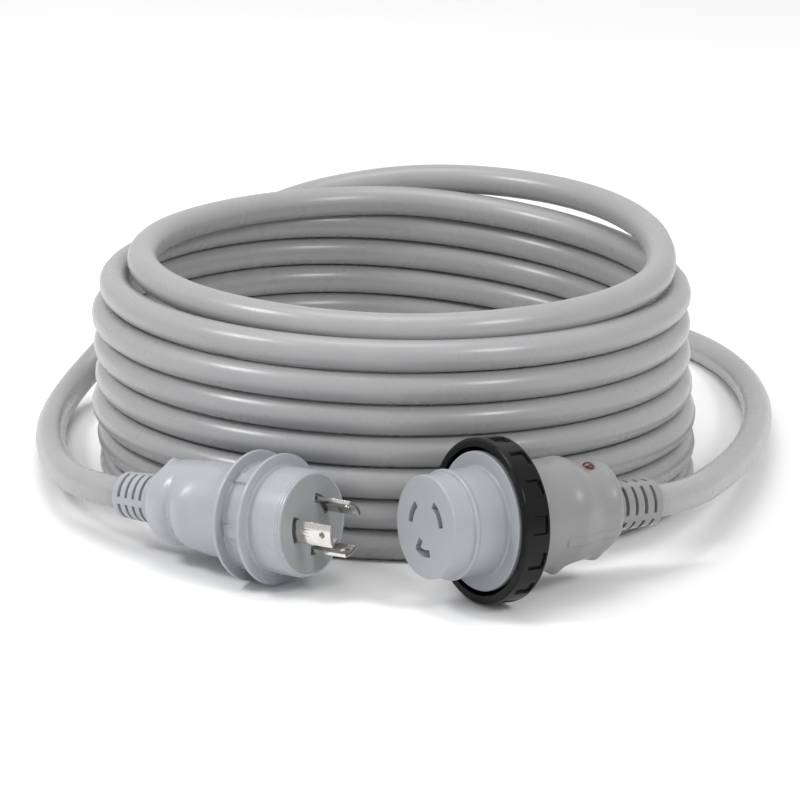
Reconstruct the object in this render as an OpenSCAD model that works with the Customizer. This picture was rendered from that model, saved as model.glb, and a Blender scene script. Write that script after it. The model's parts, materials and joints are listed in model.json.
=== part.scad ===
/* [Cord] */
// Outside diameter of the jacketed cord
cord_d = 17; // [15:0.5:19]
// Radius of the coil, at the middle of the cord
coil_r = 159; // [150:1:175]
// Number of turns stacked in the coil
coil_turns = 8; // [6:1:10]
// How much further in than the others the uppermost turn lies
top_turn_in = 14; // [0:1:16]

/* [Plug] */
// Radius of the plug's round nose
plug_nose_r = 27.9; // [26:0.1:30]
// Length of the nose, from its face to the front flange
plug_nose_l = 20.4; // [18:0.2:24]
// Radius of the two flanges
plug_flange_r = 34.2; // [32:0.1:37]
// Thickness of each flange
flange_t = 2.4; // [2:0.1:3]
// Distance from the face to the rear of the rear flange
plug_collar_l = 38.4; // [34:0.2:42]
// Distance from the face to the end of the strain relief
plug_l = 126; // [120:0.2:135]
// Angle by which the plug points up from the floor
plug_tilt = 4; // [0:0.5:6]

/* [Blades] */
// Radius of the circle that the curved blades stand on
blade_circle_r = 13.8; // [12:0.1:15]
// Thickness of a blade
blade_t = 1.8; // [1.5:0.1:2]
// Angle that the narrow blade spans round the circle
narrow_span = 40; // [32:1:44]
// Angle that the wide blade spans round the circle
wide_span = 50; // [44:1:56]
// Angle that the hooked ground blade spans round the circle
ground_span = 44; // [36:1:50]
// Length of the line and neutral blades in front of the face
blade_out = 21.5; // [20:0.5:26]
// How much further out the ground blade reaches
ground_out = 2; // [0:0.5:4]

/* [Connector] */
// Radius of the connector's round nose
nose_r = 26.6; // [25:0.1:28]
// Distance from the face to the front of the flange
nose_l = 32.4; // [30:0.2:35]
// Radius of the flange that keeps the locking ring on
nose_flange_r = 36; // [35:0.1:37]
// Distance from the face to the end of the strain relief
connector_l = 143; // [137:0.2:152]
// Angle by which the connector points up from the floor
connector_tilt = 3.2; // [0:0.2:5]

/* [Locking ring] */
// Outside radius over the grip pads
ring_r = 42.8; // [41:0.1:45]
// Length of the ring along its axis
ring_l = 15; // [12:0.5:20]
// Radius inside the ring, over the thread's crests
ring_bore_r = 37.4; // [37:0.1:39]
// Number of grip pads round the ring
ring_pads = 14; // [10:1:20]

/* [Hidden] */
$fn = 96;

cord_r = cord_d / 2;
gap = 0.05;

// Where things lie: the plug and connector lie in front of the coil, all three on the floor.
coil_at = [5, 200];
plug_at = [-38, -17.5];
plug_heading = -37;
connector_at = [20, -46];
connector_heading = 213.8;
plug_z = plug_flange_r * cos(plug_tilt) + plug_collar_l * sin(plug_tilt);
ring_back = nose_l + ring_l;
connector_z = ring_r * cos(connector_tilt) + ring_back * sin(connector_tilt);

// The line, neutral and ground poles, seen from the front of each face: the angle, the angle
// spanned, and the side on which a hook turns in, or 0 for none.
plug_poles = [[288, narrow_span, 0], [46, wide_span, 0], [180, ground_span, 1]];
socket_poles = [[159, narrow_span, 0], [41, wide_span, 0], [267, ground_span, -1]];

// Plug: depths behind the face.
face_t = 14;
face_r = 25.4;
plug_cavity_end = 84;
plug_relief_start = 100.5;
cavity_r = 20;
hook_l = 4;
plug_wires_from = 31.5;

// Connector: depths behind the face.
flange_thick = 3.5;
spigot_r = 22;
spigot_end = 45;
barrel_r = 31;
barrel_end = 50;
connector_mould_end = 84;
connector_cavity_end = 101;
connector_relief_start = 114.5;
connector_wires_from = 45.6;
foot_at = [74, 103];
foot_in = 33.2;
foot_r = 6.2;

// Wires: three insulated conductors laid up in the jacket.
wire_r = 2.4;
wire_lay_r = 4.3;
wire_depth = 10;
jacket_stub = 6;

// Strain relief: a tapered sleeve with rows of slots.
relief_big_r = 13.2;
relief_small_r = 11;
slot_rows = 4;
slot_w = 1.6;
slot_floor_r = 9.8;

// Indicator: a lens let into the connector's back, with its lamp under it.
lens_r = 3.2;
lens_at = 96.5;
lens_angle = 80;
lamp_r = 2.4;
lamp_in = 12;
lead_r = 0.5;
resistor_r = 1.5;
resistor_at = [14, lens_angle - 60, -93];
resistor_l = 7;

// Cord routes, in millimetres, from each device's tail to the coil.
plug_route = [
    [-163, 88, 24], [-174, 115, 20.8], [-181.5, 145, 18.3], [-187, 176, 16.2], [-191, 207, 14.2],
    [-193, 238, 12.6], [-193.5, 268, 11], [-192, 294, 10.8], [-187, 322, 14.2], [-173.5, 347, 25.5],
    [-151, 364.5, 48], [-124, 373, 78], [-92, 372, 103], [-57, 368, 121], [-25, 366, 128]
];
connector_route = [
    [162, 65.5, 33], [173, 92, 31], [182, 119, 28.8], [190.5, 148, 26.2], [198, 178, 23.8],
    [204.5, 209, 21.6], [209.5, 243, 19.2], [213.3, 280, 16.8], [215.3, 317, 14.4],
    [214.5, 354, 12.3], [211, 392, 10.5], [203.5, 429, 9.2], [190, 465, 8.5], [169, 495, 8.5],
    [140, 516, 8.5], [107, 523, 8.5], [76, 516, 8.5], [46, 496, 8.5], [18, 468, 8.5],
    [-14, 429, 8.5], [-48, 390, 8.5], [-84, 349, 8.5]
];
cord_sides = 12;

// A piece drawn with its face at z = 0 and its tail below, laid in place.
module lay(at, height, tilt, heading)
    translate([at[0], at[1], height]) rotate([0, -tilt, heading]) rotate([90, 0, 90]) children();

module lay_plug() lay(plug_at, plug_z, plug_tilt, plug_heading) children();

module lay_connector() lay(connector_at, connector_z, connector_tilt, connector_heading) children();

// The direction in which a device points, and a point behind its face on its axis.
function facing(tilt, heading) =
    [cos(tilt) * cos(heading), cos(tilt) * sin(heading), sin(tilt)];
function behind(at, height, tilt, heading, d) =
    [at[0], at[1], height] - d * facing(tilt, heading);

// A sector of a tube, centred on an angle, from z = low to z = high.
module sector(inner, outer, angle, span, low, high)
    rotate([0, 0, angle - span / 2]) translate([0, 0, low])
        rotate_extrude(angle = span, start = 0)
            translate([inner, 0]) square([outer - inner, high - low]);

// A round rod between two points.
module rod(a, b, r) {
    d = b - a;
    translate(a) rotate([0, acos(d[2] / norm(d)), atan2(d[1], d[0])])
        cylinder(h = norm(d), r = r, $fn = 32);
}

function polar(r, angle, z) = [r * cos(angle), r * sin(angle), z];

// One insulated conductor, from its terminal to its end inside the jacket.
module conductor(angle, from, end, r)
    rod(polar(blade_circle_r - 2, angle, -from), polar(wire_lay_r, angle, -end), r);

// The jacket's end, with the three conductors coming out of it.
module cord_end(poles, wires_from, start, end) {
    difference() {
        translate([0, 0, -end]) cylinder(h = end - start, r = cord_r);
        for (p = poles) conductor(p[0], wires_from, start + wire_depth + gap, wire_r + gap);
    }
}

// The slotted, tapered sleeve that keeps the cord from kinking.
module strain_relief(start, end) {
    pitch = (end - start - 5) / slot_rows;
    difference() {
        rotate_extrude() polygon([
            [cord_r + gap, -start], [relief_big_r, -start],
            [relief_small_r, -end + 1], [relief_small_r - 1, -end], [cord_r + gap, -end]
        ]);
        for (row = [0 : slot_rows - 1], side = [0 : 3])
            sector(slot_floor_r, relief_big_r + 1, side * 90 + 45, 66,
                   -start - 4 - row * pitch - slot_w, -start - 4 - row * pitch);
    }
}

// A curved blade, or the slot for one when it grows.
module blade(pole, grow, low, high) {
    inner = blade_circle_r - blade_t / 2 - grow;
    outer = blade_circle_r + blade_t / 2 + grow;
    sector(inner, outer, pole[0], pole[1] + 2 * grow * 180 / PI / blade_circle_r, low, high);
    if (pole[2] != 0)
        rotate([0, 0, pole[0] + pole[2] * pole[1] / 2]) translate([inner - hook_l, -blade_t / 2 - grow, low])
            cube([hook_l + blade_t / 2 + 2 * grow, blade_t + 2 * grow, high - low]);
}

module plug_blade(pole, out) {
    color("silver") lay_plug() difference() {
        blade(pole, 0, -30, out);
        rotate([0, 0, pole[0]]) translate([0, 0, out - 5.5]) rotate([0, 90, 0])
            cylinder(h = 20, r = 1.6, $fn = 32);
    }
}

module plug_blade_line() plug_blade(plug_poles[0], blade_out);

module plug_blade_neutral() plug_blade(plug_poles[1], blade_out);

module plug_blade_ground() plug_blade(plug_poles[2], blade_out + ground_out);

module plug_face() {
    color("lightgray") lay_plug() difference() {
        translate([0, 0, -face_t]) cylinder(h = face_t, r = face_r);
        for (p = plug_poles) blade(p, gap, -face_t - 1, 1);
    }
}

module plug_inner_mould() {
    color("dimgray") lay_plug() difference() {
        translate([0, 0, -plug_cavity_end]) cylinder(h = plug_cavity_end - face_t, r = cavity_r - gap);
        for (p = plug_poles) {
            blade(p, gap, -31, -face_t + 1);
            conductor(p[0], plug_wires_from - gap, plug_cavity_end + wire_depth, wire_r + gap);
        }
    }
}

module plug_wire(angle, tint)
    color(tint) lay_plug()
        conductor(angle, plug_wires_from, plug_cavity_end + wire_depth, wire_r);

module plug_wire_line() plug_wire(plug_poles[0][0], "black");

module plug_wire_neutral() plug_wire(plug_poles[1][0], "white");

module plug_wire_ground() plug_wire(plug_poles[2][0], "green");

module plug_body() {
    color("lightsteelblue") lay_plug() difference() {
        union() {
            rotate_extrude() polygon([
                [0, -plug_relief_start], [relief_big_r, -plug_relief_start], [16.8, -98.5],
                [20, -94.5], [21.2, -88], [22.4, -70], [24.2, -46], [25, -plug_collar_l],
                [plug_flange_r, -plug_collar_l], [plug_flange_r, -plug_collar_l + flange_t],
                [plug_nose_r, -plug_collar_l + flange_t], [plug_nose_r, -plug_nose_l - flange_t],
                [plug_flange_r, -plug_nose_l - flange_t], [plug_flange_r, -plug_nose_l],
                [plug_nose_r, -plug_nose_l], [plug_nose_r, -0.8], [plug_nose_r - 0.8, 0], [0, 0]
            ]);
            for (i = [0 : 5])
                sector(plug_nose_r - 1, plug_nose_r + 1.2, 18 + 60 * i, 12,
                       -plug_collar_l + 1, -plug_nose_l - 1);
        }
        translate([0, 0, -face_t]) cylinder(h = face_t + 1, r = face_r + gap);
        translate([0, 0, -plug_cavity_end]) cylinder(h = plug_cavity_end, r = cavity_r);
        translate([0, 0, -plug_relief_start - 1]) cylinder(h = plug_relief_start, r = cord_r + gap);
    }
}

module plug_strain_relief()
    color("lightsteelblue") lay_plug() strain_relief(plug_relief_start, plug_l);

module plug_cord_end()
    color("gray") lay_plug() cord_end(plug_poles, plug_wires_from, plug_cavity_end, plug_l + jacket_stub);

// The connector's nose: barrel, bead, flange and the spigot that the body is moulded round.
module connector_nose() {
    color("lightgray") lay_connector() difference() {
        rotate_extrude() polygon([
            [0, -spigot_end], [spigot_r, -spigot_end], [spigot_r, -nose_l - flange_thick],
            [nose_flange_r, -nose_l - flange_thick], [nose_flange_r, -nose_l],
            [nose_r + 1.2, -nose_l], [nose_r + 1.2, -14.4], [nose_r + 2, -13.8], [nose_r + 2, -12],
            [nose_r, -12], [nose_r, -0.8], [nose_r - 0.8, 0], [0, 0]
        ]);
        for (p = socket_poles) {
            blade(p, 0.4, -6, 1);
            sector(9.4, 16.6, p[0], p[1] + 16, -33, -5);
            sector(12.4, 15.2, p[0], p[1] - 16, -spigot_end - 1, -32);
        }
    }
}

// A female contact: two curved leaves on a base, with a tail for the conductor.
module contact(pole) {
    color("goldenrod") lay_connector() {
        difference() {
            sector(11, 16.4, pole[0], pole[1] + 6, -32.8, -5.4);
            sector(12.4, 15.2, pole[0], pole[1] + 8, -30, -5);
        }
        sector(13, 14.6, pole[0], pole[1] - 20, -spigot_end + 0.5, -32);
    }
}

module contact_line() contact(socket_poles[0]);

module contact_neutral() contact(socket_poles[1]);

module contact_ground() contact(socket_poles[2]);

module connector_inner_mould() {
    color("dimgray") lay_connector() difference() {
        translate([0, 0, -connector_mould_end])
            cylinder(h = connector_mould_end - spigot_end, r = cavity_r - gap);
        for (p = socket_poles)
            conductor(p[0], connector_wires_from - gap, connector_cavity_end + wire_depth, wire_r + gap);
    }
}

module connector_wire(angle, tint)
    color(tint) lay_connector()
        conductor(angle, connector_wires_from, connector_cavity_end + wire_depth, wire_r);

module connector_wire_line() connector_wire(socket_poles[0][0], "black");

module connector_wire_neutral() connector_wire(socket_poles[1][0], "white");

module connector_wire_ground() connector_wire(socket_poles[2][0], "green");

// Turns z towards the lens, at the lens's place along the connector.
module at_lens() translate([0, 0, -lens_at]) rotate([0, 0, lens_angle]) rotate([0, 90, 0]) children();

module connector_body() {
    color("darkgray") lay_connector() difference() {
        union() {
            rotate_extrude() polygon([
                [0, -connector_relief_start], [relief_big_r, -connector_relief_start],
                [19, -112], [23, -107], [25.2, -100], [26, -91], [27.8, -80], [28.8, -65],
                [29.4, -barrel_end], [barrel_r, -barrel_end], [barrel_r, -nose_l - flange_thick],
                [0, -nose_l - flange_thick]
            ]);
            for (a = [250, 290], z = foot_at)
                rotate([0, 0, a]) translate([foot_in - z / 8, 0, -z]) sphere(foot_r, $fn = 32);
        }
        translate([0, 0, -spigot_end]) cylinder(h = spigot_end, r = spigot_r + gap);
        translate([0, 0, -connector_cavity_end]) cylinder(h = connector_cavity_end, r = cavity_r);
        translate([0, 0, -connector_relief_start - 1])
            cylinder(h = connector_relief_start, r = cord_r + gap);
        at_lens() cylinder(h = 40, r = lens_r + gap, $fn = 32);
    }
}

module connector_strain_relief()
    color("darkgray") lay_connector() strain_relief(connector_relief_start, connector_l);

module connector_cord_end()
    color("gray") lay_connector()
        cord_end(socket_poles, connector_wires_from, connector_cavity_end, connector_l + jacket_stub);

module locking_ring() {
    pad = 360 / ring_pads;
    lip_t = 3;
    color("black") lay_connector() difference() {
        rotate_extrude() polygon([
            [ring_bore_r, -nose_l], [ring_bore_r, -ring_back + lip_t],
            [barrel_r + gap, -ring_back + lip_t], [barrel_r + gap, -ring_back],
            [ring_r - 0.8, -ring_back], [ring_r, -ring_back + 0.8],
            [ring_r, -nose_l - 0.8], [ring_r - 0.8, -nose_l]
        ]);
        for (i = [0 : ring_pads - 1])
            sector(ring_r - 1.4, ring_r + 1, (i + 0.5) * pad, pad * 0.34, -ring_back + 4, -nose_l + 1);
    }
}

module indicator_lens() {
    color("darkred") lay_connector() at_lens() {
        translate([0, 0, cavity_r]) cylinder(h = 5.2, r = lens_r, $fn = 32);
        translate([0, 0, 22]) intersection() {
            sphere(4.5, $fn = 48);
            translate([0, 0, 3]) cylinder(h = 3, r = lens_r, $fn = 32);
        }
    }
}

module indicator_lamp() {
    color("orange") lay_connector() at_lens()
        translate([0, 0, lamp_in]) cylinder(h = 7.6, r = lamp_r, $fn = 32);
}

function resistor_point(along) = polar(resistor_at[0], resistor_at[1], resistor_at[2] - along);

module indicator_resistor() {
    color("tan") lay_connector() rod(resistor_point(0), resistor_point(resistor_l), resistor_r);
}

// The lamp's two leads, one of them by way of the resistor.
module indicator_leads() {
    lead_in = lamp_in - 2 * lead_r;
    color("silver") lay_connector() {
        rod(polar(lead_in, lens_angle - 5, -lens_at + 1), resistor_point(-3 * lead_r), lead_r);
        rod(polar(lead_in, lens_angle + 5, -lens_at - 1), polar(9.8, socket_poles[0][0], -99), lead_r);
    }
}

// The coil's outer shape: the stacked turns, with the uppermost one lying further in.
module cord_coil() {
    stack_h = (coil_turns - 1) * cord_d;
    top = coil_turns * cord_d + 7;
    color("gray") translate([coil_at[0], coil_at[1], 0]) rotate_extrude($fn = 180) polygon([
        [coil_r - cord_r + 3, 0], [coil_r + cord_r - 3, 0], [coil_r + cord_r, 3],
        [coil_r + cord_r, top - 4], [coil_r + cord_r - 4, top], [coil_r - top_turn_in, top],
        [coil_r - top_turn_in - cord_r, top - 18], [coil_r - top_turn_in - cord_r, stack_h - 4],
        [coil_r - cord_r, stack_h - 12], [coil_r - cord_r, 3]
    ]);
}

// A round tube along a list of points, one ring at each.
function unit(v) = v / norm(v);
function heading_at(p, i) =
    unit(p[min(i + 1, len(p) - 1)] - p[max(i - 1, 0)]);
function tube_ring(at, along, r) =
    let (side = unit(cross(along, [0, 0, 1])), up = cross(side, along))
        [for (k = [0 : cord_sides - 1])
            at + r * (cos(360 * k / cord_sides) * side + sin(360 * k / cord_sides) * up)];
function tube_points(p, r) =
    [for (i = [0 : len(p) - 1]) each tube_ring(p[i], heading_at(p, i), r)];
function tube_faces(rings) = concat(
    [[for (k = [0 : cord_sides - 1]) k]],
    [for (i = [0 : rings - 2], k = [0 : cord_sides - 1])
        let (a = i * cord_sides, next = (k + 1) % cord_sides)
            [a + k, a + cord_sides + k, a + cord_sides + next, a + next]],
    [[for (k = [cord_sides - 1 : -1 : 0]) (rings - 1) * cord_sides + k]]
);

module tube(points)
    polyhedron(tube_points(points, cord_r), tube_faces(len(points)), convexity = 8);

module plug_tail() {
    start = [for (d = [plug_l + jacket_stub, plug_l + 2 * jacket_stub])
        behind(plug_at, plug_z, plug_tilt, plug_heading, d)];
    color("gray") tube(concat(start, plug_route));
}

module connector_tail() {
    start = [for (d = [connector_l + jacket_stub, connector_l + 2 * jacket_stub])
        behind(connector_at, connector_z, connector_tilt, connector_heading, d)];
    color("gray") tube(concat(start, connector_route));
}

plug_body();
plug_face();
plug_blade_line();
plug_blade_neutral();
plug_blade_ground();
plug_inner_mould();
plug_wire_line();
plug_wire_neutral();
plug_wire_ground();
plug_strain_relief();
plug_cord_end();
connector_body();
connector_nose();
contact_line();
contact_neutral();
contact_ground();
connector_inner_mould();
connector_wire_line();
connector_wire_neutral();
connector_wire_ground();
connector_strain_relief();
connector_cord_end();
locking_ring();
indicator_lens();
indicator_lamp();
indicator_resistor();
indicator_leads();
cord_coil();
plug_tail();
connector_tail();
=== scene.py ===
"""A shore power cord: a locking plug, a locking connector and the coiled cord between them."""

import json
import math

import bmesh
import bpy
from mathutils import Matrix, Vector


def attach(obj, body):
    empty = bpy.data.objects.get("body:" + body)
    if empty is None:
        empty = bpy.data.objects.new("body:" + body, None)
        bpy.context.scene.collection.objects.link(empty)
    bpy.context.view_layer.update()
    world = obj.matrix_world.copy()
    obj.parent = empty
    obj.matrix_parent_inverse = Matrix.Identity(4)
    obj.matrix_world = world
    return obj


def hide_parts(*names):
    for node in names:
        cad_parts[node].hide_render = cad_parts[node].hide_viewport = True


MM = 0.001
CORD_D = 17.0

# The coil, in millimetres and degrees; angles run anticlockwise from +X, seen from above.
COIL_AT = Vector((5, 200))
COIL_START = 140
COIL_STEP = 10
CLIMB_SPAN = 125
# Each turn's radius and how far it is shifted to the right, from the floor up.
TURNS = [
    (159.0, 0.0), (159.8, -1.0), (161.2, -2.6), (159.2, -3.0), (158.8, -4.2),
    (159.0, -5.2), (156.8, -3.2), (145.2, 0.6),
]
FIRST_TURN_OUT = 9.0
# The uppermost turn's radius and height round its way, by angle.
TOP_TURN = [
    (0, 156.8, 110.5), (20, 155.5, 112), (50, 152.5, 117), (90, 153, 123.5), (135, 146.5, 124),
    (180, 145.2, 124), (225, 145, 122.5), (270, 145, 121.6), (315, 145, 124), (360, 145.2, 128.6),
]

# The last stretch over the back of the coil: angle, radius and height.
OVER_THE_TOP = [
    (10, 147, 130.5), (25, 152, 133), (42, 157.5, 135.5), (58, 161.5, 136.5), (76, 163.5, 136.5),
    (91, 165, 133.5),
]
PLUG_ROUTE = [
    (-163, 88, 24), (-174, 115, 20.8), (-181.5, 145, 18.3), (-187, 176, 16.2), (-191, 207, 14.2),
    (-193, 238, 12.6), (-193.5, 268, 11), (-192, 294, 10.8), (-187, 322, 14.2), (-173.5, 347, 25.5),
    (-151, 364.5, 48), (-124, 373, 78), (-92, 372, 103), (-57, 368, 121), (-25, 366, 128),
]
CONNECTOR_ROUTE = [
    (162, 65.5, 33), (173, 92, 31), (182, 119, 28.8), (190.5, 148, 26.2), (198, 178, 23.8),
    (204.5, 209, 21.6), (209.5, 243, 19.2), (213.3, 280, 16.8), (215.3, 317, 14.4),
    (214.5, 354, 12.3), (211, 392, 10.5), (203.5, 429, 9.2), (190, 465, 8.5), (169, 495, 8.5),
    (140, 516, 8.5), (107, 523, 8.5), (76, 516, 8.5), (46, 496, 8.5), (18, 468, 8.5),
    (-14, 429, 8.5), (-48, 390, 8.5), (-84, 349, 8.5),
]

# Lengths along the devices, in millimetres behind their faces.
PLUG_L = 126.0
PLUG_RELIEF_START = 100.5
CONNECTOR_L = 143.0
CONNECTOR_RELIEF_START = 113.2

# The blades: the line, neutral and ground poles as (angle, span, side of the hook).
BLADE_R = 13.8
BLADE_T = 1.8
HOOK_L = 4.0
LINE_OUT = 21.5
GROUND_OUT = 23.5
BLADE_FOOT = 30
HOLE_R = 1.7
HOLE_BELOW_TIP = 5.5
PLUG_RECESS = 1.2
PLUG_RECESS_DEPTH = 2.2
SOCKET_CLEARANCE = 0.75
SOCKET_DEPTH = 11
PLUG_POLES = [(288, 40, 0), (46, 50, 0), (180, 44, 1)]
SOCKET_POLES = [(159, 40, 0), (41, 50, 0), (267, 44, -1)]

# The strain reliefs: rows of slots and the radius that the slots are cut down to.
SLOT_ROWS = 4
SLOT_FLOOR_R = 9.7

# The indicator lens: its depth behind the connector's face and its angle round the axis.
LENS_AT = 96.5
LENS_ANGLE = 80

# The locking ring: its grip pads, and the pockets between them.
RING_PADS = 14
POCKET_START = 339.3
POCKET_SPAN = 12
POCKET_DEPTH = 1.3

# The camera.
CAMERA_TARGET = Vector((0.00575, 0.200, 0.0434))
CAMERA_ELEVATION = 15.54
CAMERA_ROLL = 1.2
CAMERA_DISTANCE = 2.4
CAMERA_LENS = 192.6

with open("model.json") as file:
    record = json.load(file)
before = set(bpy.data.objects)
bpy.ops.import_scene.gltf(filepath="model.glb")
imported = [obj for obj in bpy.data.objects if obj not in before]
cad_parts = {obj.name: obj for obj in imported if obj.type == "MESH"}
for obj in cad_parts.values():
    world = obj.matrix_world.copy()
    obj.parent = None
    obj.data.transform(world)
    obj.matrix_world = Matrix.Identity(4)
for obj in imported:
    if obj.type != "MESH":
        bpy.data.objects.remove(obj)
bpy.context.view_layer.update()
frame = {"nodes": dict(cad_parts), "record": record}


def device_place(mount):
    """A device's local axes: Z out of its face, Y up, X to the right as one looks at the face."""
    found = next(m for m in frame["record"]["mounts"] if m["name"] == mount)
    forward = Vector(found["axis"]).normalized()
    up = (Vector((0, 0, 1)) - forward * forward.z).normalized()
    side = up.cross(forward)
    place = Matrix((side, up, forward)).transposed().to_4x4()
    place.translation = Vector(found["pos_m"])
    return place


PLUG = device_place("plug_blades")
CONNECTOR = device_place("contact_slots")


# ---------------------------------------------------------------- camera

def make_camera():
    elevation = math.radians(CAMERA_ELEVATION)
    roll = math.radians(CAMERA_ROLL)
    back = Vector((0, -math.cos(elevation), math.sin(elevation)))
    right = Vector((1, 0, 0))
    up = back.cross(right)
    tilted_right = right * math.cos(roll) + up * math.sin(roll)
    tilted_up = up * math.cos(roll) - right * math.sin(roll)
    data = bpy.data.cameras.new("camera")
    camera = bpy.data.objects.new("camera", data)
    bpy.context.collection.objects.link(camera)
    matrix = Matrix((tilted_right, tilted_up, back)).transposed().to_4x4()
    matrix.translation = CAMERA_TARGET + back * CAMERA_DISTANCE
    camera.matrix_world = matrix
    data.sensor_width = 36
    data.lens = CAMERA_LENS
    data.clip_end = 20
    bpy.context.scene.camera = camera


# ---------------------------------------------------------------- the cord's line

def smooth(t):
    t = min(max(t, 0.0), 1.0)
    return t * t * (3 - 2 * t)


def coil_point(angle):
    """A point on the coil's stacked turns; the angle grows by 360 a turn."""
    turn = int(angle // 360)
    phi = angle - 360 * turn
    climb = smooth(phi / CLIMB_SPAN) if turn > 0 else 1.0
    here, before = TURNS[turn], TURNS[max(turn - 1, 0)]
    radius, shift = (b + (h - b) * climb for h, b in zip(here, before))
    height = CORD_D / 2 + CORD_D * (turn - 1 + climb)
    if turn == 0:
        radius += FIRST_TURN_OUT * (1 - smooth((phi - COIL_START) / 45))
    if turn == len(TURNS) - 1:
        i = min(sum(phi >= a for a, _, _ in TOP_TURN), len(TOP_TURN) - 1)
        (a0, r0, z0), (a1, r1, z1) = TOP_TURN[i - 1], TOP_TURN[i]
        part = (phi - a0) / (a1 - a0)
        radius, height = r0 + (r1 - r0) * part, z0 + (z1 - z0) * part
    x = COIL_AT.x + radius * math.cos(math.radians(angle)) + shift
    y = COIL_AT.y + radius * math.sin(math.radians(angle))
    return Vector((x, y, height))


def over_point(angle, radius, height):
    at = math.radians(angle)
    return Vector((COIL_AT.x + radius * math.cos(at), COIL_AT.y + radius * math.sin(at), height))


def along_axis(place, depths):
    return [(place @ Vector((0, 0, -d * MM))) / MM for d in depths]


def through(points, parts):
    """A smooth line through the points, with that many parts between each pair."""
    line = []
    for i in range(len(points) - 1):
        before, a, b, after = (points[min(max(i + k, 0), len(points) - 1)] for k in (-1, 0, 1, 2))
        span = math.sqrt((b - a).length)
        first = math.sqrt((a - before).length) or span
        last = math.sqrt((after - b).length) or span
        start = end = b - a
        if i > 0:
            start = span * ((a - before) / first - (b - before) / (first + span) + (b - a) / span)
        if i < len(points) - 2:
            end = span * ((b - a) / span - (after - a) / (span + last) + (after - b) / last)
        for k in range(parts):
            t = k / parts
            line.append(
                (2 * t**3 - 3 * t**2 + 1) * a + (t**3 - 2 * t**2 + t) * start
                + (3 * t**2 - 2 * t**3) * b + (t**3 - t**2) * end
            )
    return line + [points[-1]]


def relaxed(line, rounds, ends):
    """The line with its tighter bends eased, apart from a few points at its ends."""
    for _ in range(rounds):
        line = [
            p if i < ends or i >= len(line) - ends
            else p * 0.5 + (line[i - 1] + line[i + 1]) * 0.25
            for i, p in enumerate(line)
        ]
    return line


def cord_line():
    turns = [coil_point(a) for a in range(COIL_START, 360 * len(TURNS), COIL_STEP)]
    route = (
        along_axis(CONNECTOR, (CONNECTOR_L - 24, CONNECTOR_L - 8, CONNECTOR_L + 10))
        + [Vector(p) for p in CONNECTOR_ROUTE]
        + turns
        + [over_point(*p) for p in OVER_THE_TOP]
        + [Vector(p) for p in reversed(PLUG_ROUTE)]
        + along_axis(PLUG, (PLUG_L + 10, PLUG_L - 8, PLUG_L - 24))
    )
    return [p * MM for p in relaxed(through(route, 4), 12, 6)]


# ---------------------------------------------------------------- materials

class Nodes:
    """A material's node tree, with short calls for what the materials below share."""

    def __init__(self, name):
        self.material = bpy.data.materials.new(name)
        self.material.use_nodes = True
        self.tree = self.material.node_tree
        self.shader = self.tree.nodes["Principled BSDF"]
        self.space = self.add("ShaderNodeTexCoord").outputs["Object"]

    def add(self, kind, **values):
        node = self.tree.nodes.new(kind)
        for key, value in values.items():
            setattr(node, key, value)
        return node

    def link(self, a, b):
        self.tree.links.new(a, b)

    def noise(self, scale, detail=3.0, rough=0.55):
        node = self.add("ShaderNodeTexNoise")
        self.link(self.space, node.inputs["Vector"])
        node.inputs["Scale"].default_value = scale
        node.inputs["Detail"].default_value = detail
        node.inputs["Roughness"].default_value = rough
        return node.outputs["Fac"]

    def spread(self, factor, low, high, start=0.3, end=0.7):
        """The factor from start to end, mapped to low to high."""
        node = self.add("ShaderNodeMapRange")
        self.link(factor, node.inputs["Value"])
        for key, value in zip(("From Min", "From Max", "To Min", "To Max"), (start, end, low, high)):
            node.inputs[key].default_value = value
        return node.outputs["Result"]

    def blend(self, factor, a, b):
        node = self.add("ShaderNodeMix", data_type="RGBA")
        self.link(factor, node.inputs["Factor"])
        for socket, value in zip(("A", "B"), (a, b)):
            target = next(s for s in node.inputs if s.name == socket and s.type == "RGBA")
            if isinstance(value, tuple):
                target.default_value = (*value, 1.0)
            else:
                self.link(value, target)
        return next(s for s in node.outputs if s.type == "RGBA")

    def bump(self, heights):
        """Bumps on top of each other, as (height socket, distance in metres)."""
        below = None
        for height, distance in heights:
            node = self.add("ShaderNodeBump")
            node.inputs["Distance"].default_value = distance
            self.link(height, node.inputs["Height"])
            if below:
                self.link(below, node.inputs["Normal"])
            below = node.outputs["Normal"]
        self.link(below, self.shader.inputs["Normal"])


def shade(colour, factor):
    return tuple(min(c * factor, 1.0) for c in colour)


def vinyl(name, colour, rough, grain=0.00003, mottle=0.025, specular=0.5):
    """Moulded or extruded vinyl: faint mottling, a fine grain and an uneven satin finish."""
    n = Nodes(name)
    clouds = n.noise(38, 4)
    specks = n.noise(900, 2)
    body = n.blend(n.spread(clouds, 0, 1), shade(colour, 1 - mottle), shade(colour, 1 + mottle))
    n.link(n.blend(n.spread(specks, 0, 1, 0.62, 0.8), body, shade(colour, 0.95)),
           n.shader.inputs["Base Color"])
    n.link(n.spread(n.noise(60, 2), rough - 0.02, rough + 0.03), n.shader.inputs["Roughness"])
    n.bump([(n.noise(90, 1), grain * 2), (n.noise(1500, 2), grain * 0.5)])
    n.shader.inputs["Specular IOR Level"].default_value = specular
    return n.material


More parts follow.
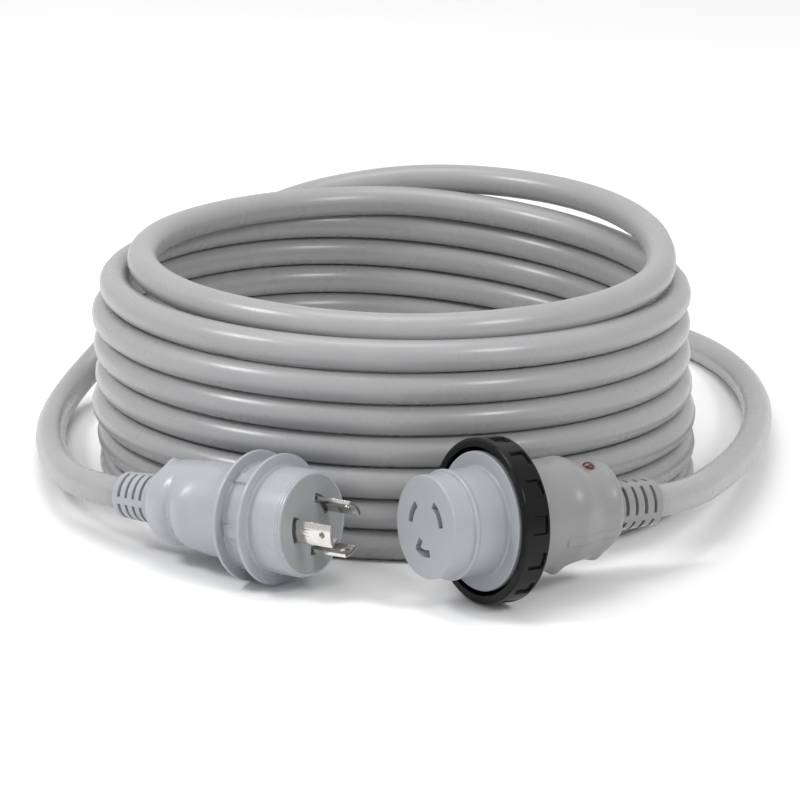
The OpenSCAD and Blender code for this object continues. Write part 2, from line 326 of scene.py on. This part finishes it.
def nickel():
    """Plated blade stock, with brushing along it and a few dull patches."""
    n = Nodes("nickel_plate")
    n.shader.inputs["Metallic"].default_value = 1.0
    stretch = n.add("ShaderNodeMapping")
    stretch.inputs["Scale"].default_value = (2600, 2600, 90)
    n.link(n.space, stretch.inputs["Vector"])
    lines = n.add("ShaderNodeTexNoise")
    lines.inputs["Scale"].default_value = 1.0
    lines.inputs["Detail"].default_value = 2.0
    n.link(stretch.outputs["Vector"], lines.inputs["Vector"])
    dull = n.noise(220, 4)
    n.link(n.blend(n.spread(dull, 0, 1), (0.58, 0.56, 0.53), (0.70, 0.68, 0.65)),
           n.shader.inputs["Base Color"])
    n.link(n.spread(dull, 0.12, 0.22), n.shader.inputs["Roughness"])
    n.bump([(lines.outputs["Fac"], 0.000003)])
    return n.material


def clear_red():
    n = Nodes("red_lens")
    n.link(n.blend(n.spread(n.noise(700, 3), 0, 1), (0.035, 0.001, 0.002), (0.08, 0.003, 0.004)),
           n.shader.inputs["Base Color"])
    n.link(n.spread(n.noise(400, 2), 0.08, 0.2), n.shader.inputs["Roughness"])
    n.shader.inputs["Coat Weight"].default_value = 0.6
    n.bump([(n.noise(900, 2), 0.00002)])
    return n.material


def floor_paint():
    n = Nodes("floor")
    n.link(n.blend(n.spread(n.noise(3, 2), 0, 1), (0.9, 0.9, 0.9), (0.92, 0.92, 0.92)),
           n.shader.inputs["Base Color"])
    n.shader.inputs["Roughness"].default_value = 0.7
    n.shader.inputs["Specular IOR Level"].default_value = 0.2
    return n.material


MATERIALS = {
    "cord_jacket": vinyl("cord_jacket", (0.305, 0.305, 0.311), 0.28),
    "plug_vinyl": vinyl("plug_vinyl", (0.335, 0.350, 0.375), 0.28),
    "connector_vinyl": vinyl("connector_vinyl", (0.215, 0.219, 0.216), 0.24),
    "face_plastic": vinyl("face_plastic", (0.315, 0.327, 0.352), 0.34, mottle=0.02),
    "plug_face_plastic": vinyl("plug_face_plastic", (0.26, 0.271, 0.277), 0.36, mottle=0.02),
    "ring_plastic": vinyl("ring_plastic", (0.003, 0.003, 0.0034), 0.22, specular=0.2),
    "nickel": nickel(),
    "contact_brass": vinyl("contact_brass", (0.62, 0.43, 0.16), 0.3),
    "inner_plastic": vinyl("inner_plastic", (0.12, 0.12, 0.125), 0.6),
    "wire_black": vinyl("wire_black", (0.02, 0.02, 0.02), 0.45),
    "wire_white": vinyl("wire_white", (0.78, 0.78, 0.76), 0.45),
    "wire_green": vinyl("wire_green", (0.03, 0.24, 0.07), 0.45),
    "red_lens": clear_red(),
    "lamp_glass": vinyl("lamp_glass", (0.75, 0.35, 0.1), 0.15),
    "resistor_body": vinyl("resistor_body", (0.6, 0.46, 0.28), 0.5),
}

# The material of each CAD node that stays in sight as it is.
KEPT_NODES = {
    "plug_inner_mould": "inner_plastic", "plug_wire_line": "wire_black",
    "plug_wire_neutral": "wire_white", "plug_wire_ground": "wire_green",
    "plug_cord_end": "cord_jacket",
    "contact_line": "contact_brass", "contact_neutral": "contact_brass",
    "contact_ground": "contact_brass", "connector_inner_mould": "inner_plastic",
    "connector_wire_line": "wire_black", "connector_wire_neutral": "wire_white",
    "connector_wire_ground": "wire_green", "connector_cord_end": "cord_jacket",
    "indicator_lamp": "lamp_glass", "indicator_resistor": "resistor_body",
    "indicator_leads": "nickel",
}


def paint(obj, name):
    if obj.data.materials:
        for i in range(len(obj.data.materials)):
            obj.data.materials[i] = MATERIALS[name]
    else:
        obj.data.materials.append(MATERIALS[name])


# ---------------------------------------------------------------- shapes

def rounded(outline):
    """A closed outline of (radius, depth, rounding), with its corners eased."""
    out = []
    for i, (r, d, ease) in enumerate(outline):
        here = Vector((r, d))
        if not ease:
            out.append(here)
            continue
        back = Vector(outline[i - 1][:2]) - here
        ahead = Vector(outline[(i + 1) % len(outline)][:2]) - here
        a = here + back.normalized() * min(ease, back.length * 0.45)
        b = here + ahead.normalized() * min(ease, ahead.length * 0.45)
        out += [a * (1 - t) ** 2 + here * 2 * t * (1 - t) + b * t * t for t in (0, 0.25, 0.5, 0.75, 1)]
    return out


def divided(points, step):
    """The closed outline with no stretch longer than a step, apart from any along the axis."""
    out = []
    for i, a in enumerate(points):
        b = points[(i + 1) % len(points)]
        parts = max(1, math.ceil((b - a).length / step)) if max(a.x, b.x) > 0.01 else 1
        out += [a.lerp(b, k / parts) for k in range(parts)]
    return out


def new_piece(name, place, mesh, material, nodes, body="root"):
    """An object in place, riding on its body and standing for its CAD nodes."""
    obj = bpy.data.objects.new(name, mesh)
    bpy.context.collection.objects.link(obj)
    obj.matrix_world = place
    if not mesh.materials:
        mesh.materials.append(MATERIALS[material])
    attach(obj, body)
    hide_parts(*nodes)
    return obj


def turned(name, outline, step, spokes, shape=None):
    """A closed solid turned round the local Z axis. The shape moves each (radius, angle, depth)."""
    profile = divided(rounded(outline), step)
    verts, faces = [], []
    for k in range(spokes):
        a = 360 * k / spokes
        for p in profile:
            r, d = shape(p.x, a, p.y) if shape else p
            verts.append((r * math.cos(math.radians(a)) * MM, r * math.sin(math.radians(a)) * MM, -d * MM))
    count = len(profile)
    for k in range(spokes):
        here, there = k * count, (k + 1) % spokes * count
        for i in range(count):
            j = (i + 1) % count
            faces.append((here + i, here + j, there + j, there + i))
    mesh = bpy.data.meshes.new(name)
    mesh.from_pydata(verts, [], faces)
    tidy = bmesh.new()
    tidy.from_mesh(mesh)
    bmesh.ops.remove_doubles(tidy, verts=tidy.verts, dist=1e-7)
    bmesh.ops.recalc_face_normals(tidy, faces=tidy.faces)
    tidy.to_mesh(mesh)
    tidy.free()
    mesh.shade_smooth()
    mesh.set_sharp_from_angle(angle=math.radians(42))
    return mesh


def apart(a, b):
    """How far one angle is from another, the short way round."""
    return (a - b + 180) % 360 - 180


def hill(x, width):
    return math.exp(-((x / width) ** 2))


def inside_blade(r, a, pole, grow):
    """Whether a point of the face lies in a blade's section, or within a distance of it."""
    angle, span, hook = pole
    if abs(r - BLADE_R) < BLADE_T / 2 + grow:
        if abs(apart(a, angle)) < span / 2 + math.degrees(grow / BLADE_R):
            return True
    if hook:
        end = math.radians(a - angle - hook * span / 2)
        along, across = r * math.cos(end), r * math.sin(end)
        return BLADE_R - BLADE_T / 2 - HOOK_L - grow < along < BLADE_R and abs(across) < BLADE_T / 2 + grow
    return False


def on_circle(r, a):
    return Vector((r * math.cos(math.radians(a)), r * math.sin(math.radians(a))))


def blade_section(pole):
    """The blade's outline as one looks at the face, in millimetres."""
    angle, span, hook = pole
    inner, outer = BLADE_R - BLADE_T / 2, BLADE_R + BLADE_T / 2
    first, last = sorted((angle - span / 2, angle + span / 2), reverse=hook < 0)
    steps = [first + (last - first) * k / 20 for k in range(21)]
    if not hook:
        return [on_circle(outer, a) for a in steps] + [on_circle(inner, a) for a in reversed(steps)]
    along = on_circle(1, last)
    across = Vector((-along.y, along.x)) * hook * BLADE_T / 2
    short = [a for a in steps if abs(a - last) > 4]
    hook_end = along * (inner - HOOK_L)
    corners = [along * outer + across, hook_end + across, hook_end - across, along * inner - across]
    return (
        [on_circle(outer, a) for a in steps] + corners
        + [on_circle(inner, a) for a in reversed(short)]
    )


def settled(obj):
    """Applies the object's modifiers to its mesh."""
    bpy.context.view_layer.update()
    evaluated = obj.evaluated_get(bpy.context.evaluated_depsgraph_get())
    mesh = bpy.data.meshes.new_from_object(evaluated)
    obj.modifiers.clear()
    obj.data = mesh


def blade(name, pole, out):
    """A curved blade with eased edges and a hole near its tip."""
    section = blade_section(pole)
    count = len(section)
    verts = [(*(p * MM), z * MM) for z in (-BLADE_FOOT, out) for p in section]
    faces = [tuple(range(count - 1, -1, -1)), tuple(range(count, 2 * count))]
    faces += [(i, (i + 1) % count, count + (i + 1) % count, count + i) for i in range(count)]
    mesh = bpy.data.meshes.new(name)
    mesh.from_pydata(verts, [], faces)
    obj = new_piece(name, PLUG, mesh, "nickel", [name])
    bpy.ops.mesh.primitive_cylinder_add(vertices=48, radius=HOLE_R * MM, depth=14 * MM)
    cutter = bpy.context.active_object
    turn = Matrix.Rotation(math.radians(pole[0]), 4, "Z")
    near_tip = turn @ Matrix.Translation((BLADE_R * MM, 0, (out - HOLE_BELOW_TIP) * MM))
    cutter.matrix_world = PLUG @ near_tip @ Matrix.Rotation(math.radians(90), 4, "Y")
    hole = obj.modifiers.new("hole", "BOOLEAN")
    hole.operation, hole.solver, hole.object = "DIFFERENCE", "EXACT", cutter
    settled(obj)
    bpy.data.objects.remove(cutter)
    edge = obj.modifiers.new("edge", "BEVEL")
    edge.width, edge.segments = 0.22 * MM, 2
    edge.limit_method, edge.angle_limit = "ANGLE", math.radians(50)
    settled(obj)
    obj.data.shade_smooth()
    obj.data.set_sharp_from_angle(angle=math.radians(35))


def relief(name, place, start, end, turn, material):
    """A tapered sleeve with four rows of curved slots."""
    pitch = (end - start - 5) / SLOT_ROWS
    outline = [
        (8.6, start, 0), (13.3, start, 0), (12.3, end - 1.2, 0.9), (11.0, end, 0.6), (8.6, end, 0.3),
    ]

    def shape(r, a, d):
        for row in range(SLOT_ROWS):
            top = start + 4 + row * pitch
            if top - 0.2 < d < top + 1.5 and abs((a - turn) % 90 - 45) < 36:
                return min(r, SLOT_FLOOR_R), d
        return r, d

    mesh = turned(name, outline, 0.32, 300, shape)
    new_piece(name, place, mesh, material, [name])


def plug():
    outline = [
        (25.45, 0, 0.2), (26.9, 0, 0.3), (26.9, 1.1, 0.2), (27.4, 1.3, 0.15), (27.4, 2.3, 0.2),
        (27.9, 2.6, 0.2), (27.9, 20.4, 1.2), (34.2, 20.6, 0.6), (34.2, 22.6, 0.6), (27.9, 22.8, 0.8),
        (27.9, 36.0, 0.8), (34.2, 36.2, 0.6), (34.2, 38.2, 0.6), (25.2, 38.4, 2.4), (24.4, 46, 3),
        (22.6, 70, 4), (21.6, 88, 4), (20.2, 95, 3), (16.8, 98.8, 2), (13.3, 100.5, 1.2),
        (13.3, 101.2, 0.2), (8.6, 101.2, 0), (8.6, 84, 0), (20, 84, 0), (20, 14, 0), (25.45, 14, 0),
    ]

    def shape(r, a, d):
        if 23.4 < d < 35.4 and r > 26:
            off = min(abs(apart(a, 3 + 60 * k)) for k in range(6))
            if off < 6.4:
                r += 1.3 if off > 5.0 else 0.8
        if d > 39.5 and r > 20.5:
            upper = hill(apart(a, 92), 62)
            under = hill(apart(a, 268), 60)
            near = hill(apart(a, 188), 55)
            r += 2.1 * upper * hill(d - 74, 24)
            r += 1.8 * hill(apart(a, 90), 10) * hill(d - 92, 1.8)
            r += under * (1.5 * hill(d - 60, 11) + 0.9 * hill(d - 90, 5) - 1.0 * hill(d - 79, 4))
            r += near * (0.9 * hill(d - 70, 5.5) - 1.7 * hill(d - 79.5, 2.2) + 0.7 * hill(d - 86, 4))
            r += 1.3 * hill(apart(a, 165), 20) * hill(d - 70, 5)
        return r, d

    mesh = turned("plug_body", outline, 0.9, 240, shape)
    new_piece("plug_body", PLUG, mesh, "plug_vinyl", ["plug_body"])

    def pocket(r, a, d):
        deep = d < 0.01 and r < 24 and any(inside_blade(r, a, p, PLUG_RECESS) for p in PLUG_POLES)
        return r, PLUG_RECESS_DEPTH if deep else d

    outline = [(0, 0, 0), (25.4, 0, 0.3), (25.4, 14, 0), (0, 14, 0)]
    mesh = turned("plug_face", outline, 0.42, 360, pocket)
    new_piece("plug_face", PLUG, mesh, "plug_face_plastic", ["plug_face"])
    lengths = (LINE_OUT, LINE_OUT, GROUND_OUT)
    for name, pole, out in zip(("line", "neutral", "ground"), PLUG_POLES, lengths):
        blade(f"plug_blade_{name}", pole, out)
    relief("plug_strain_relief", PLUG, PLUG_RELIEF_START, PLUG_L, 0, "plug_vinyl")


def connector():
    outline = [
        (0, 0, 0), (26.6, 0, 1.0), (26.6, 11.6, 0.4), (28.5, 12.2, 0.8), (28.5, 14.0, 0.8),
        (27.8, 14.8, 0.4), (27.8, 32.4, 1.4), (36.0, 32.4, 0.9), (36.0, 35.9, 0.8), (22, 35.9, 0),
        (22, 45, 0), (0, 45, 0),
    ]

    def slots(r, a, d):
        cut = any(inside_blade(r, a, p, SOCKET_CLEARANCE) for p in SOCKET_POLES)
        return r, SOCKET_DEPTH if d < 0.01 and r < 24 and cut else d

    mesh = turned("connector_nose", outline, 0.42, 360, slots)
    new_piece("connector_nose", CONNECTOR, mesh, "face_plastic", ["connector_nose"])

    outline = [
        (22.05, 35.9, 0), (31, 35.9, 0), (31, 50, 0.8), (29.4, 50.8, 0.5), (29.0, 60, 2), (28.7, 66, 3),
        (28.0, 80, 4), (26.1, 92, 4), (25.3, 99, 4), (23.2, 106, 4), (19, 110.8, 2.5),
        (13.4, 113.0, 1.2), (13.4, 113.8, 0.2), (8.6, 113.8, 0), (8.6, 101, 0), (20, 101, 0),
        (20, 45, 0), (22.05, 45, 0),
    ]

    def humps(r, a, d):
        if d > 51 and r > 18:
            upper = hill(apart(a, 90), 58)
            near = hill(apart(a, 20), 50)
            r += upper * (1.6 * hill(d - 82, 6.5) + 3.0 * hill(d - 107, 4.5) - 0.9 * hill(d - 95, 4.5))
            r += near * (1.3 * hill(d - 82, 6) + 1.3 * hill(d - 106, 4) - 1.0 * hill(d - 95, 4.5))
            for foot in (250, 290):
                for at, high in ((75, 3.4), (102, 2.2)):
                    r += high * hill(d - at, 4.4) * hill(apart(a, foot), 10)
            bar = abs(apart(a, 344))
            if 70 < d < 108 and bar < 6:
                r += 0.7 * min(1, (6 - bar) / 1.2)
        return r, d

    mesh = turned("connector_body", outline, 0.8, 300, humps)
    new_piece("connector_body", CONNECTOR, mesh, "connector_vinyl", ["connector_body"])
    relief(
        "connector_strain_relief", CONNECTOR, CONNECTOR_RELIEF_START, CONNECTOR_L, -19,
        "connector_vinyl",
    )

    top = Matrix.Rotation(math.radians(LENS_ANGLE), 4, "Z") @ Matrix.Rotation(math.radians(90), 4, "Y")
    place = CONNECTOR @ Matrix.Translation((0, 0, -LENS_AT * MM)) @ top
    outline = [
        (0, -26.9, 0), (1.6, -26.7, 0.4), (2.8, -26.0, 0.4), (3.2, -25.2, 0.2), (3.2, -20, 0),
        (0, -20, 0),
    ]
    mesh = turned("indicator_lens", outline, 0.4, 48)
    new_piece("indicator_lens", place, mesh, "red_lens", ["indicator_lens"])


def ring():
    """The locking ring: ridges inside for its thread, and shallow pockets between its grip pads."""
    thread = [(37.5 + 0.7 * (k % 2), 43.6 - k * 1.1, 0.15) for k in range(8)]
    outline = [
        (38.3, 32.4, 0.4), (42.2, 32.4, 0.5), (42.8, 33.2, 0.4), (42.8, 46.8, 0.5), (42.2, 47.4, 0.4),
        (31.05, 47.4, 0.3), (31.05, 44.4, 0.2), (37.5, 44.4, 0.2), *thread,
    ]

    def pockets(r, a, d):
        if r > 42 and 36.8 < d < 45.4 and (a - POCKET_START) % (360 / RING_PADS) < POCKET_SPAN:
            r -= POCKET_DEPTH
        return r, d

    mesh = turned("locking_ring", outline, 0.5, 560, pockets)
    new_piece("locking_ring", CONNECTOR, mesh, "ring_plastic", ["locking_ring"], "ring")


# ---------------------------------------------------------------- cord

def cord():
    line = cord_line()
    data = bpy.data.curves.new("cord", "CURVE")
    data.dimensions = "3D"
    spline = data.splines.new("POLY")
    spline.points.add(len(line) - 1)
    for point, at in zip(spline.points, line):
        point.co = (*at, 1)
    data.bevel_depth = (CORD_D / 2 + 0.03) * MM
    data.bevel_resolution = 6
    data.use_fill_caps = True
    obj = bpy.data.objects.new("cord", data)
    bpy.context.collection.objects.link(obj)
    data.materials.append(MATERIALS["cord_jacket"])
    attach(obj, "root")
    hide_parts("cord_coil", "plug_tail", "connector_tail")


# ---------------------------------------------------------------- scene

def area_light(name, at, target, size, power, colour=(1, 1, 1)):
    data = bpy.data.lights.new(name, "AREA")
    data.shape = "DISK"
    data.size = size
    data.energy = power
    data.color = colour
    light = bpy.data.objects.new(name, data)
    bpy.context.collection.objects.link(light)
    light.location = at
    light.rotation_euler = (Vector(target) - Vector(at)).to_track_quat("-Z", "Y").to_euler()


def surroundings():
    mesh = bpy.data.meshes.new("floor")
    half = 6.0
    corners = [(-half, -half, 0), (half, -half, 0), (half, half, 0), (-half, half, 0)]
    mesh.from_pydata(corners, [], [(0, 1, 2, 3)])
    floor = bpy.data.objects.new("floor", mesh)
    bpy.context.collection.objects.link(floor)
    mesh.materials.append(floor_paint())
    world = bpy.data.worlds.new("studio")
    bpy.context.scene.world = world
    world.use_nodes = True
    background = world.node_tree.nodes["Background"]
    background.inputs["Color"].default_value = (1, 1, 1, 1)
    background.inputs["Strength"].default_value = 0.8
    area_light("overhead", (-0.2, 0.3, 2.2), (0, 0.15, 0), 1.4, 14)
    area_light("left", (-1.35, -0.25, 1.5), (0, 0.1, 0.05), 0.5, 15)
    area_light("right", (1.2, -1.1, 1.45), (0, 0.1, 0.05), 0.5, 13)
    bpy.context.scene.view_settings.view_transform = "Standard"


make_camera()
cord()
plug()
connector()
ring()
for node, name in KEPT_NODES.items():
    paint(frame["nodes"][node], name)
surroundings()
